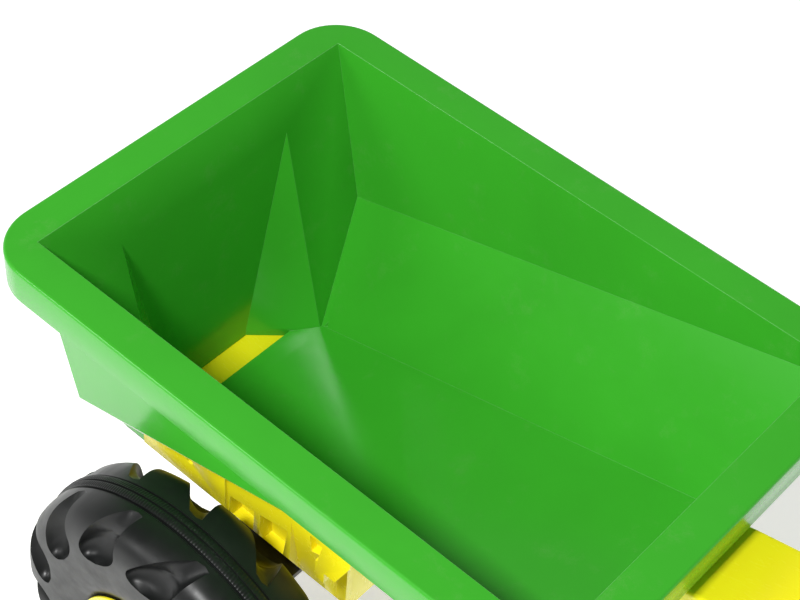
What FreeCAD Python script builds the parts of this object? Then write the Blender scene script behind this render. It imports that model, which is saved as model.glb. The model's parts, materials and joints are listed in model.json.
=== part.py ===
import FreeCAD, Part
import math
import os
import re
import Sketcher

# A towed garden spreader for a child's pedal tractor: a moulded hopper on a two-wheel chassis.
# The turning wheels drive a spinner disc under the outlet through two pairs of bevel gears.
# +X is the direction of travel, +Y is left, +Z is up. The origin is on the ground, under the
# middle of the whole length. Lengths are in millimetres.

SIZES = {
    # hopper
    "hopper_length": "453",
    "hopper_width": "300",
    "rim_height": "434.5",
    "flange_width": "29",
    "skirt_depth": "29",
    "rim_corner": "42",
    "rim_fillet": "2.5",
    "wall": "3",
    "end_wall_rake": "0.23",
    "side_wall_rake": "0.02",
    "lower_wall_lean": "0.605",
    "floor_rise": "0.29",
    "floor_half_width": "87",
    "floor_depth": "234",
    # recess in the rear wall, and the outlet at its foot
    "recess_top_depth": "44",
    "recess_half_width": "84.5",
    "recess_foot_half": "42",
    "outlet_length": "26",
    "collar_height": "6",
    "collar_half_width": "92",
    "collar_margin": "22",
    # dosing slide
    "gate_thickness": "2.5",
    "gate_half_width": "76",
    "gate_overlap": "4",
    "gate_clearance": "0.3",
    "guide_width": "13",
    "guide_lip": "6",
    "guide_lip_thickness": "3",
    "handle_width": "56",
    "handle_reach": "14",
    # wheels and axle
    "wheel_radius": "150",
    "wheel_width": "83",
    "wheel_offset": "29.4",
    "tread_depth": "12.5",
    "lug_count": "14",
    "lug_slant": "25",
    "hub_radius": "75",
    "tyre_wall": "4.5",
    "axle_setback": "173.4",
    "axle_radius": "6",
    "bush_wall": "3",
    "running_clearance": "0.05",
    "side_clearance": "0.4",
    # chassis
    "rail_face": "126",
    "rail_rear": "67",
    "rail_front": "277",
    "rail_foot_depth": "180",
    "rail_pocket_x": "162",
    "chassis_depth": "240",
    "hanger_width": "12",
    "hanger_face": "112",
    "bracket_half_length": "32",
    "bracket_flange": "5",
    "axle_beam_length": "80",
    "front_beam_length": "34",
    "front_beam_setback": "23",
    # drawbar
    "drawbar_half_width": "36",
    "drawbar_reach": "355",
    "drawbar_drop": "17",
    "hitch_radius": "8",
    "hitch_bush_wall": "3",
    # drive train
    "gear_module": "1.75",
    "wheel_gear_teeth": "40",
    "pinion_teeth": "16",
    "gear_face_share": "0.3",
    "shaft_radius": "4",
    "lay_bush_wall": "3",
    "spinner_setback": "42",
    "disc_radius": "70",
    "disc_thickness": "2.5",
    "vane_height": "6",
    "vane_gap": "2.5",
    "cover_gap": "1.3",
    "case_wall": "3",
    "case_half_width": "40",
    "case_rear_half_width": "27",
    # fasteners
    "screw_radius": "2.5",
    "screw_head_radius": "5",
    "screw_head_height": "3",
    "screw_clearance": "0.1",
    # worked out from the values above
    "overall_length": "=hopper_length + 2 * flange_width + drawbar_reach",
    "hopper_x": "=flange_width - overall_length / 2",
    "floor_rear_x": "=end_wall_rake * floor_depth",
    "recess_back_x": "=end_wall_rake * recess_top_depth",
    "outlet_front_x": "=recess_back_x + outlet_length",
    "outlet_depth": "=floor_depth + floor_rise * (floor_rear_x - outlet_front_x)",
    "collar_depth": "=outlet_depth + collar_height",
    "track_half": "=hopper_width / 2 + wheel_offset",
    "axle_x": "=hopper_x + axle_setback",
    "axle_depth": "=rim_height - wheel_radius",
    "spinner_x": "=hopper_x + spinner_setback",
    "wheel_gear_radius": "=gear_module * wheel_gear_teeth / 2",
    "pinion_radius": "=gear_module * pinion_teeth / 2",
    "guide_depth": "=collar_depth + gate_thickness + 2 * gate_clearance",
    "disc_top_depth": "=guide_depth + guide_lip_thickness + vane_gap + vane_height",
    "disc_bottom_depth": "=disc_top_depth + disc_thickness",
    "cover_top_depth": "=disc_bottom_depth + cover_gap",
    "case_half_height": "=wheel_gear_radius + gear_module + 1",
    "tray_bottom_depth": "=axle_depth + case_half_height + case_wall",
}

doc = FreeCAD.newDocument("garden_spreader")
sheet = doc.addObject("Spreadsheet::Sheet", "Sizes")
for row, alias in enumerate(SIZES, start=1):
    sheet.set("A%d" % row, alias)
    sheet.setAlias("B%d" % row, alias)
for row, content in enumerate(SIZES.values(), start=1):
    sheet.set("B%d" % row, content)
doc.recompute()

Vector = FreeCAD.Vector
X_DIR = Vector(1, 0, 0)
Y_DIR = Vector(0, 1, 0)
Z_DIR = Vector(0, 0, 1)
WORD = re.compile(r"[a-z_]+[a-z]")
HOPPER_FRAME = ("hopper_x", "0", "rim_height")
AXLE_FRAME = ("axle_x", "0", "wheel_radius")
SPINNER_FRAME = ("spinner_x", "0", "wheel_radius")
NODES = []


def size(alias):
    """A size from the sheet, as a number."""
    return float(sheet.get(alias))


def bind(item, prop, text):
    """Bind a property to an expression written with the sheet's aliases."""
    full = WORD.sub(lambda word: "Sizes." + word.group() if word.group() in SIZES else word.group(), text)
    item.setExpression(prop, full)


def place(item, frame):
    for axis, text in zip("xyz", frame):
        bind(item, "Placement.Base." + axis, text)


def body(label, frame):
    item = doc.addObject("PartDesign::Body", label)
    item.Label = label
    place(item, frame)
    NODES.append(item)
    return item


def feature(label, shape, frame):
    """A sub-part whose shape is made with Part's functions, in the named frame."""
    item = doc.addObject("Part::Feature", label)
    item.Label = label
    item.Shape = shape
    place(item, frame)
    NODES.append(item)
    return item


def origin_part(owner, role):
    return [part for part in owner.Origin.OriginFeatures if part.Role == role][0]


def add_polygon(sketch, points):
    count = len(points)
    lines = []
    for index in range(count):
        turn = 2 * math.pi / count
        start = Vector(math.cos(index * turn), math.sin(index * turn), 0)
        end = Vector(math.cos((index + 1) * turn), math.sin((index + 1) * turn), 0)
        lines.append(sketch.addGeometry(Part.LineSegment(start, end), False))
    for index in range(count):
        follower = lines[(index + 1) % count]
        sketch.addConstraint(Sketcher.Constraint("Coincident", lines[index], 2, follower, 1))
    for line, (across, up) in zip(lines, points):
        for kind, text in (("DistanceX", across), ("DistanceY", up)):
            number = sketch.addConstraint(Sketcher.Constraint(kind, -1, 1, line, 1, 1.0))
            bind(sketch, "Constraints[%d]" % number, text)


def add_circle(sketch, across, up, radius):
    circle = sketch.addGeometry(Part.Circle(Vector(1, 1, 0), Z_DIR, 1), False)
    number = sketch.addConstraint(Sketcher.Constraint("Radius", circle, 1.0))
    bind(sketch, "Constraints[%d]" % number, radius)
    for kind, text in (("DistanceX", across), ("DistanceY", up)):
        number = sketch.addConstraint(Sketcher.Constraint(kind, -1, 1, circle, 3, 1.0))
        bind(sketch, "Constraints[%d]" % number, text)


def sketch_on(owner, plane, outlines, offset="0"):
    """Outlines are polygons, given as lists of points, and circles, given as (x, y, radius)."""
    sketch = owner.newObject("Sketcher::SketchObject", owner.Name + "_sketch")
    sketch.AttachmentSupport = [(origin_part(owner, plane), "")]
    sketch.MapMode = "FlatFace"
    bind(sketch, "AttachmentOffset.Base.z", offset)
    for outline in outlines:
        if isinstance(outline, tuple):
            add_circle(sketch, *outline)
        else:
            add_polygon(sketch, outline)
    return sketch


def pad(owner, plane, outlines, length, offset="0", midplane=False):
    item = owner.newObject("PartDesign::Pad", owner.Name + "_pad")
    item.Profile = sketch_on(owner, plane, outlines, offset)
    bind(item, "Length", length)
    item.Midplane = midplane
    doc.recompute()
    return item


def pocket(owner, plane, outlines, length, offset="0", midplane=False, backwards=False):
    """Cut a pocket and refuse one that removed nothing."""
    before = owner.Shape.Volume
    item = owner.newObject("PartDesign::Pocket", owner.Name + "_pocket")
    item.Profile = sketch_on(owner, plane, outlines, offset)
    bind(item, "Length", length)
    item.Midplane = midplane
    item.Reversed = backwards
    doc.recompute()
    if owner.Shape.Volume > before - 1e-3:
        raise RuntimeError("pocket cut nothing in " + owner.Label)
    return item


def revolve(owner, plane, outline, axis):
    item = owner.newObject("PartDesign::Revolution", owner.Name + "_revolution")
    sketch = sketch_on(owner, plane, [outline])
    item.Profile = sketch
    item.ReferenceAxis = (sketch, [axis])
    item.Angle = 360
    doc.recompute()
    return item


def polar(owner, original, axis_role, count):
    item = owner.newObject("PartDesign::PolarPattern", owner.Name + "_pattern")
    item.Originals = [original]
    item.Axis = (origin_part(owner, axis_role), [""])
    item.Angle = 360
    bind(item, "Occurrences", count)
    owner.Tip = item
    doc.recompute()
    return item


# Shapes made from planes: the hopper's walls slope in several directions at once.

def plane_through(point, normal):
    normal = Vector(*normal)
    normal.normalize()
    return (Vector(*point), normal)


def moved_out(planes, distance):
    return [(point + normal * distance, normal) for point, normal in planes]


def crossing(first, second, third):
    """The point that three planes share, or None."""
    normals = [first[1], second[1], third[1]]
    volume = normals[0].dot(normals[1].cross(normals[2]))
    if abs(volume) < 1e-9:
        return None
    reach = [point.dot(normal) for point, normal in (first, second, third)]
    total = normals[1].cross(normals[2]) * reach[0]
    total = total + normals[2].cross(normals[0]) * reach[1]
    total = total + normals[0].cross(normals[1]) * reach[2]
    return total * (1 / volume)


def corner_points(planes):
    corners = []
    count = len(planes)
    for i in range(count):
        for j in range(i + 1, count):
            for k in range(j + 1, count):
                point = crossing(planes[i], planes[j], planes[k])
                if point is None:
                    continue
                if any((point - base).dot(normal) > 1e-6 for base, normal in planes):
                    continue
                if all((point - other).Length > 1e-6 for other in corners):
                    corners.append(point)
    return corners


def convex_solid(planes):
    """The solid inside planes whose normals point outwards."""
    corners = corner_points(planes)
    faces = []
    for base, normal in planes:
        ring = [point for point in corners if abs((point - base).dot(normal)) < 1e-6]
        if len(ring) < 3:
            continue
        middle = sum(ring, Vector()) * (1 / len(ring))
        side = (ring[0] - middle).normalize()
        other = normal.cross(side)
        ring.sort(key=lambda point: math.atan2((point - middle).dot(other), (point - middle).dot(side)))
        faces.append(Part.Face(Part.makePolygon(ring + ring[:1])))
    return solid_from(faces)


def solid_from(faces):
    solid = Part.Solid(Part.Shell(faces))
    if solid.Volume < 0:
        solid.reverse()
    return solid


def prism_y(outline, low, high):
    """A prism along Y from an outline of (x, z) points."""
    ring = [Vector(across, low, up) for across, up in outline]
    return Part.Face(Part.makePolygon(ring + ring[:1])).extrude(Y_DIR * (high - low))


def box(low, high):
    return Part.makeBox(high[0] - low[0], high[1] - low[1], high[2] - low[2], Vector(*low))


def cylinder(radius, base, direction, length):
    return Part.makeCylinder(radius, length, Vector(*base), direction)


def mirrored_y(shape):
    return shape.mirror(Vector(), Y_DIR)


def fuse_all(shapes):
    return shapes[0].multiFuse(shapes[1:]).removeSplitter()


def cut_all(shape, cutters):
    for cutter in cutters:
        shape = shape.cut(cutter)
    return shape


def floor_height(across):
    """Height of the hopper's inner floor, measured from the rim, at a place along X."""
    return -size("floor_depth") + size("floor_rise") * (across - size("floor_rear_x"))


def hopper_planes(top):
    half = size("hopper_width") / 2
    rake = size("end_wall_rake")
    side = size("side_wall_rake")
    lean = size("lower_wall_lean")
    rise = size("floor_rise")
    foot = size("floor_half_width")
    planes = [plane_through((0, 0, top), (0, 0, 1))]
    planes.append(plane_through((0, 0, 0), (-1, 0, -rake)))
    planes.append(plane_through((size("hopper_length"), 0, 0), (1, 0, -rake)))
    planes.append(plane_through((0, 0, floor_height(0)), (rise, 0, -1)))
    for hand in (-1, 1):
        planes.append(plane_through((0, hand * half, 0), (0, hand, -side)))
        normal = (lean * rise, hand, -lean)
        planes.append(plane_through((0, hand * foot, floor_height(0)), normal))
    return planes


def recess_planes():
    """The pocket in the rear wall: upright back, and two cheeks that close towards the foot."""
    back = size("recess_back_x")
    width = size("recess_half_width")
    foot = size("recess_foot_half")
    top = -size("recess_top_depth")
    floor_rear = size("floor_rear_x")
    rake = size("end_wall_rake")
    planes = [plane_through((back, 0, 0), (-1, 0, 0))]
    planes.append(plane_through((0, 0, floor_height(0)), (size("floor_rise"), 0, -1)))
    planes.append(plane_through((size("wall") * 2, 0, 0), (1, 0, rake)))
    for hand in (-1, 1):
        apex = Vector(back, hand * width, top)
        front = Vector(floor_rear, hand * width, -size("floor_depth"))
        rear = Vector(back, hand * foot, -size("outlet_depth"))
        normal = (front - apex).cross(rear - apex)
        if normal.y * hand < 0:
            normal = normal * -1
        planes.append(plane_through(tuple(apex), tuple(normal)))
    return planes


def outlet_shape(margin):
    """The outlet through the floor: it follows the recess, and ends in a straight front edge."""
    back = size("recess_back_x")
    front = size("outlet_front_x")
    slope = (size("recess_half_width") - size("recess_foot_half")) / (size("floor_rear_x") - back)
    rear_half = size("recess_foot_half") + margin
    front_half = size("recess_foot_half") + slope * size("outlet_length") + margin
    ring = [Vector(back - margin, -rear_half, 0), Vector(front + margin, -front_half, 0)]
    ring += [Vector(front + margin, front_half, 0), Vector(back - margin, rear_half, 0)]
    bottom = -size("collar_depth") - 1
    for point in ring:
        point.z = bottom
    height = size("collar_depth") - size("outlet_depth") + 2 + size("floor_rise") * size("outlet_length")
    return Part.Face(Part.makePolygon(ring + ring[:1])).extrude(Z_DIR * height)


def rim_shape():
    """A flat flange round the opening, with a skirt that hangs from its edge."""
    wall = size("wall")
    wide = size("flange_width")
    long = size("hopper_length")
    half = size("hopper_width") / 2
    block = box((-wide, -half - wide, -size("skirt_depth")), (long + wide, half + wide, 0))
    upright = [edge for edge in block.Edges if abs(edge.tangentAt(edge.FirstParameter).z) > 0.9]
    block = block.makeFillet(size("rim_corner"), upright)
    top = [edge for edge in block.Edges if edge.BoundBox.ZMin > -1e-6]
    block = block.makeFillet(size("rim_fillet"), top)
    low_corner = (wall - wide, wall - half - wide, -size("skirt_depth") - 1)
    high_corner = (long + wide - wall, half + wide - wall, -wall)
    inner = box(low_corner, high_corner)
    upright = [edge for edge in inner.Edges if abs(edge.tangentAt(edge.FirstParameter).z) > 0.9]
    return block.cut(inner.makeFillet(size("rim_corner") - wall, upright))


def boss_places():
    """Where the hopper is screwed down: two pairs, one over each cross beam."""
    across = size("floor_half_width") - 14
    rear = size("axle_setback")
    return [(x, hand * across) for x in (rear, front_beam_middle()) for hand in (-1, 1)]


BOSS_RADIUS = 8
BOSS_LENGTH = 16
SCREW_GRIP = 10


def screw_hole_radius():
    return size("screw_radius") + size("screw_clearance")


def hopper_shape():
    wall = size("wall")
    planes = hopper_planes(0)
    outer = [planes[0]] + moved_out(planes[1:], wall)
    pocket_planes = recess_planes()
    collar_plane = plane_through((0, 0, -size("collar_depth")), (0, 0, -1))
    recess_outer = moved_out(pocket_planes[:2], wall) + [pocket_planes[2]]
    recess_outer += moved_out(pocket_planes[3:], wall)
    collar_rear = size("recess_back_x") - wall
    collar_front = size("outlet_front_x") + size("collar_margin")
    collar_half = size("collar_half_width")
    collar_low = (collar_rear, -collar_half, -size("collar_depth"))
    collar_high = (collar_front, collar_half, 6 - size("outlet_depth"))
    parts = [convex_solid(outer), convex_solid(recess_outer + [collar_plane]), rim_shape()]
    parts.append(box(collar_low, collar_high))
    for across, aside in boss_places():
        base = (across, aside, floor_height(across) - wall - BOSS_LENGTH)
        parts.append(cylinder(BOSS_RADIUS, base, Z_DIR, BOSS_LENGTH + 2))
    cutters = [convex_solid(hopper_planes(1)), convex_solid(pocket_planes), outlet_shape(0)]
    for across, aside in boss_places():
        base = (across, aside, floor_height(across) - wall - BOSS_LENGTH - 1)
        cutters.append(cylinder(screw_hole_radius(), base, Z_DIR, SCREW_GRIP + 1))
    for across, aside in guide_screw_places():
        base = (across, aside, -size("collar_depth") - 1)
        cutters.append(cylinder(screw_hole_radius(), base, Z_DIR, collar_grip() + 1))
    for place_y in rivet_places():
        cutters.append(rivet_hole(place_y))
    return cut_all(fuse_all(parts), cutters)


def guide_screw_places():
    middle = size("gate_half_width") + size("gate_clearance") + size("guide_width") / 2
    first = size("recess_back_x") + 2
    last = size("outlet_front_x") + size("collar_margin") - 9
    return [(x, hand * middle) for x in (first, last) for hand in (-1, 1)]


def collar_grip():
    return size("collar_height") - 1.5


def rivet_places():
    return [-22, 22]


RIVET_DEPTH = 90
RIVET_LENGTH = 14


def front_wall_x(depth):
    """Outer face of the hopper's front wall at a depth under the rim."""
    slant = math.sqrt(1 + size("end_wall_rake") ** 2)
    return size("hopper_length") + size("wall") * slant - size("end_wall_rake") * depth


def rivet_axis():
    axis = Vector(1, 0, -size("end_wall_rake"))
    return axis.normalize()


def rivet_start(place_y):
    base = Vector(front_wall_x(RIVET_DEPTH), place_y, -RIVET_DEPTH)
    return base - rivet_axis() * size("wall")


def rivet_hole(place_y):
    start = rivet_start(place_y) - rivet_axis()
    return cylinder(screw_hole_radius(), tuple(start), rivet_axis(), RIVET_LENGTH + 1)


def hopper_envelope(gap):
    """The hopper's outside below the rim, grown by a gap, used to shape what carries it."""
    planes = moved_out(hopper_planes(0), size("wall") + gap)
    return convex_solid(planes)


# Chassis: two rails that cradle the hopper's lower walls, two cross beams and the axle hangers.

def beam_front():
    return size("rail_front") - size("front_beam_setback")


def front_beam_middle():
    return beam_front() - size("front_beam_length") / 2


def rail_shape():
    face = size("rail_face")
    foot = -size("rail_foot_depth")
    under = -size("chassis_depth")
    inner = face - 46
    ring = [(face, -96), (face, foot), (face - 30, under), (inner, under), (inner, -96)]
    points = [Vector(size("rail_rear"), y, z) for y, z in ring]
    section = Part.Face(Part.makePolygon(points + points[:1]))
    rail = section.extrude(X_DIR * (size("rail_front") - size("rail_rear")))
    return cut_all(rail, rail_cutters())


# Outlines on a rail's outer face: x from the pockets' datum or from the rail's front end, z from the rim.
REAR_POCKET = [(-3, -166), (21, -161), (20, -194), (-5, -194)]
FRONT_POCKET = [(27, -160), (54, -153), (49, -194), (26, -194)]
WINDOW = [(-40, -137), (-26, -134), (-30, -155), (-41, -160)]
NOSE = [(1, -132), (-15, -169), (-20, -176), (-32, -174)]
POCKET_DEPTH = 16
WINDOW_DEPTH = 12
NOSE_DEPTH = 26
FACE_STEP = 2.5


def shifted(outline, across):
    return [(across + x, z) for x, z in outline]


def rail_cutters():
    """Raked ends, a stepped face, open pockets with ribs between them, and a small window."""
    face = size("rail_face")
    rear = size("rail_rear")
    front = size("rail_front")
    datum = size("rail_pocket_x")
    foot = -size("rail_foot_depth")
    under = -size("chassis_depth") - 1
    beyond = face + 1
    block_front = front - 32
    block_rear = datum + 57
    rake = [(rear - 1, -90), (rear - 1, under), (rear + 16, under), (rear + 4, foot)]
    rear_rake = prism_y(rake, 0, beyond)
    step = box((datum - 6, face - FACE_STEP, foot - 20), (block_front, beyond, -90))
    first = prism_y(shifted(REAR_POCKET, datum), face - POCKET_DEPTH, beyond)
    second = prism_y(shifted(FRONT_POCKET, datum), face - POCKET_DEPTH, beyond)
    lean = [(face - FACE_STEP, -138), (beyond, -138), (beyond, -206), (face - 13, -206)]
    corners = [Vector(block_rear, y, z) for y, z in lean]
    slope = Part.Face(Part.makePolygon(corners + corners[:1])).extrude(X_DIR * (block_front - block_rear))
    window = prism_y(shifted(WINDOW, front), face - WINDOW_DEPTH, beyond)
    nose_outline = shifted(NOSE, front) + [(block_front, under), (front + 1, under)]
    nose = prism_y(nose_outline, face - NOSE_DEPTH, beyond)
    inner_outline = [(front + 1, -164), (beam_front(), -164), (beam_front(), under), (front + 1, under)]
    inner_nose = prism_y(inner_outline, 0, face)
    dimple = cylinder(3, (datum - 42, face - 1.5, -158), Y_DIR, 3)
    return [rear_rake, step, first, second, slope, window, nose, inner_nose, dimple]


def bracket_shape(hand):
    """A folded bracket under the frame: a flange for two screws, and a plate with the bush's seat."""
    under = -size("chassis_depth")
    flange = size("bracket_flange")
    low = -size("axle_depth")
    centre = size("axle_setback")
    outer = size("hanger_face")
    inner = outer - size("hanger_width")
    half = size("bracket_half_length")
    eye = 15
    outline = [(centre - half, under), (centre - eye, low), (centre + eye, low), (centre + half, under)]
    plate = prism_y(outline, inner, outer)
    nose = cylinder(eye, (centre, inner, low), Y_DIR, size("hanger_width"))
    top = box((centre - half, inner - 30, under - flange), (centre + half, outer, under))
    bracket = fuse_all([plate, nose, top])
    holes = [cylinder(bush_seat_radius(), (centre, inner - 1, low), Y_DIR, size("hanger_width") + 2)]
    for across, aside in bracket_screw_places():
        if aside > 0:
            base = (across, aside, under - flange - 1)
            holes.append(cylinder(screw_hole_radius(), base, Z_DIR, flange + 2))
    bracket = cut_all(bracket, holes)
    return bracket if hand > 0 else mirrored_y(bracket)


def bracket_screw_places():
    aside = size("hanger_face") - size("hanger_width") - 18
    reach = size("bracket_half_length") - 8
    middle = size("axle_setback")
    return [(middle + step, hand * aside) for step in (-reach, reach) for hand in (-1, 1)]


def bush_seat_radius():
    return size("axle_radius") + size("running_clearance") * 2 + size("bush_wall")


def beam_shape(middle, length):
    half = size("rail_face") - 40
    beam = box((middle - length / 2, -half, -size("chassis_depth")), (middle + length / 2, half, -120))
    return beam


def chassis_shape():
    rail = rail_shape()
    front_middle = front_beam_middle()
    parts = [rail, mirrored_y(rail)]
    parts.append(beam_shape(size("axle_setback"), size("axle_beam_length")))
    parts.append(beam_shape(front_middle, size("front_beam_length")))
    cutters = [hopper_envelope(0)]
    for across, aside in boss_places():
        top = floor_height(across) - size("wall")
        base = (across, aside, top - BOSS_LENGTH - 0.3)
        cutters.append(cylinder(BOSS_RADIUS + 0.3, base, Z_DIR, BOSS_LENGTH + 20))
        base = (across, aside, -size("chassis_depth") - 1)
        cutters.append(cylinder(screw_hole_radius(), base, Z_DIR, 80))
        head_room = screw_head_level(across) + size("chassis_depth") + 1
        cutters.append(cylinder(size("screw_head_radius") + 1, base, Z_DIR, head_room))
    for across, aside in case_screw_places() + drawbar_screw_places() + bracket_screw_places():
        base = (across, aside, -size("chassis_depth") - 1)
        cutters.append(cylinder(screw_hole_radius(), base, Z_DIR, SCREW_GRIP + 1))
    return cut_all(fuse_all(parts), cutters)


def screw_head_level(across):
    """The seat of a hopper screw's head, 3 mm of beam under the boss."""
    return floor_height(across) - size("wall") - BOSS_LENGTH - 3.3


def case_screw_places():
    aside = size("case_half_width") - 5.5
    middle = size("axle_setback")
    return [(middle + step, hand * aside) for step in (-22, 34) for hand in (-1, 1)]


def drawbar_screw_places():
    return [(front_beam_middle(), hand * 22) for hand in (-1, 1)]


# Drawbar: it leaves the front beam, climbs the front wall, and passes under the skirt.

def drawbar_outline():
    front = beam_front()
    beam_rear = front - size("front_beam_length")
    under = -size("chassis_depth")
    rim_front = size("hopper_length") + size("flange_width")
    crest = -size("skirt_depth") - size("drawbar_drop")
    tip = rim_front + size("drawbar_reach")
    gap = 0.3
    knee = floor_height(size("hopper_length")) - 12
    top = [(beam_rear, under), (front + gap, under), (front + gap, floor_height(front) - 26)]
    top += [(front_wall_x(-knee) - 8, knee - 14), (front_wall_x(-knee) + 4, knee)]
    top += [(front_wall_x(100) + gap, -100), (front_wall_x(64) + gap, -64)]
    top += [(rim_front - 26, crest - 8), (rim_front, crest), (rim_front + 60, crest + 15)]
    top += [(rim_front + 100, crest + 18), (rim_front + 155, crest), (tip - 100, crest - 62)]
    top += [(tip - 50, crest - 94), (tip, crest - 94)]
    bottom = [(tip, crest - 112), (tip - 56, crest - 112), (tip - 106, crest - 94)]
    bottom += [(rim_front + 155, crest - 44), (rim_front + 96, crest - 22)]
    bottom += [(rim_front + 52, crest - 24), (rim_front + 10, crest - 42)]
    bottom += [(rim_front - 4, crest - 80), (rim_front - 40, crest - 136), (front + 40, under - 6)]
    bottom += [(front + 10, under - 22), (beam_rear, under - 22)]
    return top + bottom


def drawbar_shape():
    half = size("drawbar_half_width")
    rim_front = size("hopper_length") + size("flange_width")
    tip = rim_front + size("drawbar_reach")
    bar = prism_y(drawbar_outline(), -half, half)
    edges = []
    for edge in bar.Edges:
        along = abs(edge.tangentAt(edge.FirstParameter).y) < 0.5
        if along and edge.BoundBox.XMin > rim_front - 30 and edge.Length > 19:
            edges.append(edge)
    bar = bar.makeFillet(3, edges)
    plan = [(beam_front() - 60, -half), (tip - 250, -half), (tip - 60, 6 - half)]
    plan += [(tip - 18, 10 - half), (tip, 26 - half)]
    plan += [(across, -aside) for across, aside in reversed(plan)]
    ring = [Vector(across, aside, -400) for across, aside in plan]
    bar = bar.common(Part.Face(Part.makePolygon(ring + ring[:1])).extrude(Z_DIR * 400))
    seat = size("hitch_radius") + size("hitch_bush_wall")
    cutters = [cylinder(seat, (hitch_x(), 0, -400), Z_DIR, 400)]
    cutters += [rivet_hole(place_y) for place_y in rivet_places()]
    for across, aside in drawbar_screw_places():
        base = (across, aside, -size("chassis_depth") - 60)
        cutters.append(cylinder(screw_hole_radius(), base, Z_DIR, 80))
        cutters.append(cylinder(size("screw_head_radius") + 1, base, Z_DIR, 60 - 16))
    return cut_all(bar, cutters)


def hitch_x():
    return size("hopper_length") + size("flange_width") + size("drawbar_reach") - 26


def hitch_bush_shape():
    """A flanged steel sleeve that lines the towing hole."""
    crest = -size("skirt_depth") - size("drawbar_drop")
    inner = size("hitch_radius")
    outer = inner + size("hitch_bush_wall") - size("running_clearance")
    sleeve = cylinder(outer, (hitch_x(), 0, crest - 112), Z_DIR, 19)
    lip = cylinder(outer + 2.5, (hitch_x(), 0, crest - 94), Z_DIR, 2)
    bore = cylinder(inner, (hitch_x(), 0, crest - 120), Z_DIR, 40)
    return fuse_all([sleeve, lip]).cut(bore)


# Fasteners: each group is one compound of separate solids.

def screw(seat, direction, grip):
    """A round-headed screw: the head lies on the seat, the shank runs along the direction."""
    point = Vector(*seat)
    shank = cylinder(size("screw_radius"), tuple(point), direction, grip)
    head_base = point - direction * size("screw_head_height")
    head = cylinder(size("screw_head_radius"), tuple(head_base), direction, size("screw_head_height"))
    closed = [edge for edge in head.Edges if edge.Closed and isinstance(edge.Curve, Part.Circle)]
    rim = [edge for edge in closed if edge.BoundBox.Center.sub(head_base).Length < 0.1]
    head = head.makeFillet(1.2, rim)
    cross = box((-3, -0.6, 0), (3, 0.6, 1.4)).fuse(box((-0.6, -3, 0), (0.6, 3, 1.4)))
    cross.Placement = FreeCAD.Placement(head_base, FreeCAD.Rotation(Z_DIR, direction))
    return head.fuse(shank).removeSplitter().cut(cross)


def hopper_screws():
    screws = []
    for across, aside in boss_places():
        seat = (across, aside, screw_head_level(across))
        screws.append(screw(seat, Z_DIR, SCREW_GRIP + 3))
    return Part.makeCompound(screws)


def guide_screws():
    seat = -size("guide_depth") - size("guide_lip_thickness")
    grip = size("guide_depth") + size("guide_lip_thickness") - size("collar_depth") + collar_grip() - 0.3
    return Part.makeCompound([flat_screw((x, y, seat), grip) for x, y in guide_screw_places()])


def flat_screw(seat, grip):
    """A countersunk screw from below, flush with its seat."""
    head = Part.makeCone(size("screw_head_radius") - 0.6, size("screw_radius"), 2.2, Vector(*seat), Z_DIR)
    shank = cylinder(size("screw_radius"), seat, Z_DIR, grip)
    cross = box((-2.4, -0.5, 0), (2.4, 0.5, 1.2)).fuse(box((-0.5, -2.4, 0), (0.5, 2.4, 1.2)))
    cross.Placement = FreeCAD.Placement(Vector(*seat), FreeCAD.Rotation())
    return head.fuse(shank).removeSplitter().cut(cross)


def case_screws():
    seat = -size("tray_bottom_depth")
    grip = size("tray_bottom_depth") - size("chassis_depth") + SCREW_GRIP - 1
    return Part.makeCompound([screw((x, y, seat), Z_DIR, grip) for x, y in case_screw_places()])


def bracket_screws():
    seat = -size("chassis_depth") - size("bracket_flange")
    grip = size("bracket_flange") + SCREW_GRIP - 1
    return Part.makeCompound([screw((x, y, seat), Z_DIR, grip) for x, y in bracket_screw_places()])


def drawbar_screws():
    tongue = 16
    seat = -size("chassis_depth") - tongue
    screws = [screw((x, y, seat), Z_DIR, tongue + SCREW_GRIP - 1) for x, y in drawbar_screw_places()]
    return Part.makeCompound(screws)


def front_rivets():
    rivets = []
    for place_y in rivet_places():
        start = rivet_start(place_y)
        shank = cylinder(size("screw_radius"), tuple(start), rivet_axis(), RIVET_LENGTH - 2)
        head = cylinder(6, tuple(start - rivet_axis() * 2.5), rivet_axis(), 2.5)
        outer = [edge for edge in head.Edges if edge.Closed and (edge.BoundBox.Center - start).Length > 2]
        rivets.append(head.makeFillet(1.5, outer).fuse(shank).removeSplitter())
    return Part.makeCompound(rivets)


# Bevel gears: every flank runs to the apex where the two shafts' axes cross.

ADDENDUM = 0.7
DEDENDUM = 1.05
TIP_SHARE = 0.12
ROOT_SHARE = 0.31


def bevel_teeth(teeth, cone_angle, cone_distance, gap_first):
    """A toothed frustum along +Z with its apex at the origin."""
    module = size("gear_module")
    tip = cone_angle + math.atan(ADDENDUM * module / cone_distance)
    root = cone_angle - math.atan(DEDENDUM * module / cone_distance)
    pitch = 2 * math.pi / teeth
    shift = 0.5 if gap_first else 0
    outer = []
    for tooth in range(teeth):
        for share, cone in ((-ROOT_SHARE, root), (-TIP_SHARE, tip), (TIP_SHARE, tip), (ROOT_SHARE, root)):
            turn = (tooth + shift + share) * pitch
            reach = cone_distance * math.sin(cone)
            height = cone_distance * math.cos(cone)
            outer.append(Vector(reach * math.cos(turn), reach * math.sin(turn), height))
    scale = 1 - size("gear_face_share")
    inner = [point * scale for point in outer]
    middle = Vector(0, 0, cone_distance * math.cos(root))
    faces = []
    for index, point in enumerate(outer):
        after = (index + 1) % len(outer)
        faces.append(polygon_face([point, outer[after], inner[after], inner[index]]))
        faces.append(polygon_face([point, outer[after], middle]))
        faces.append(polygon_face([inner[index], inner[after], middle * scale]))
    return solid_from(faces)


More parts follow.
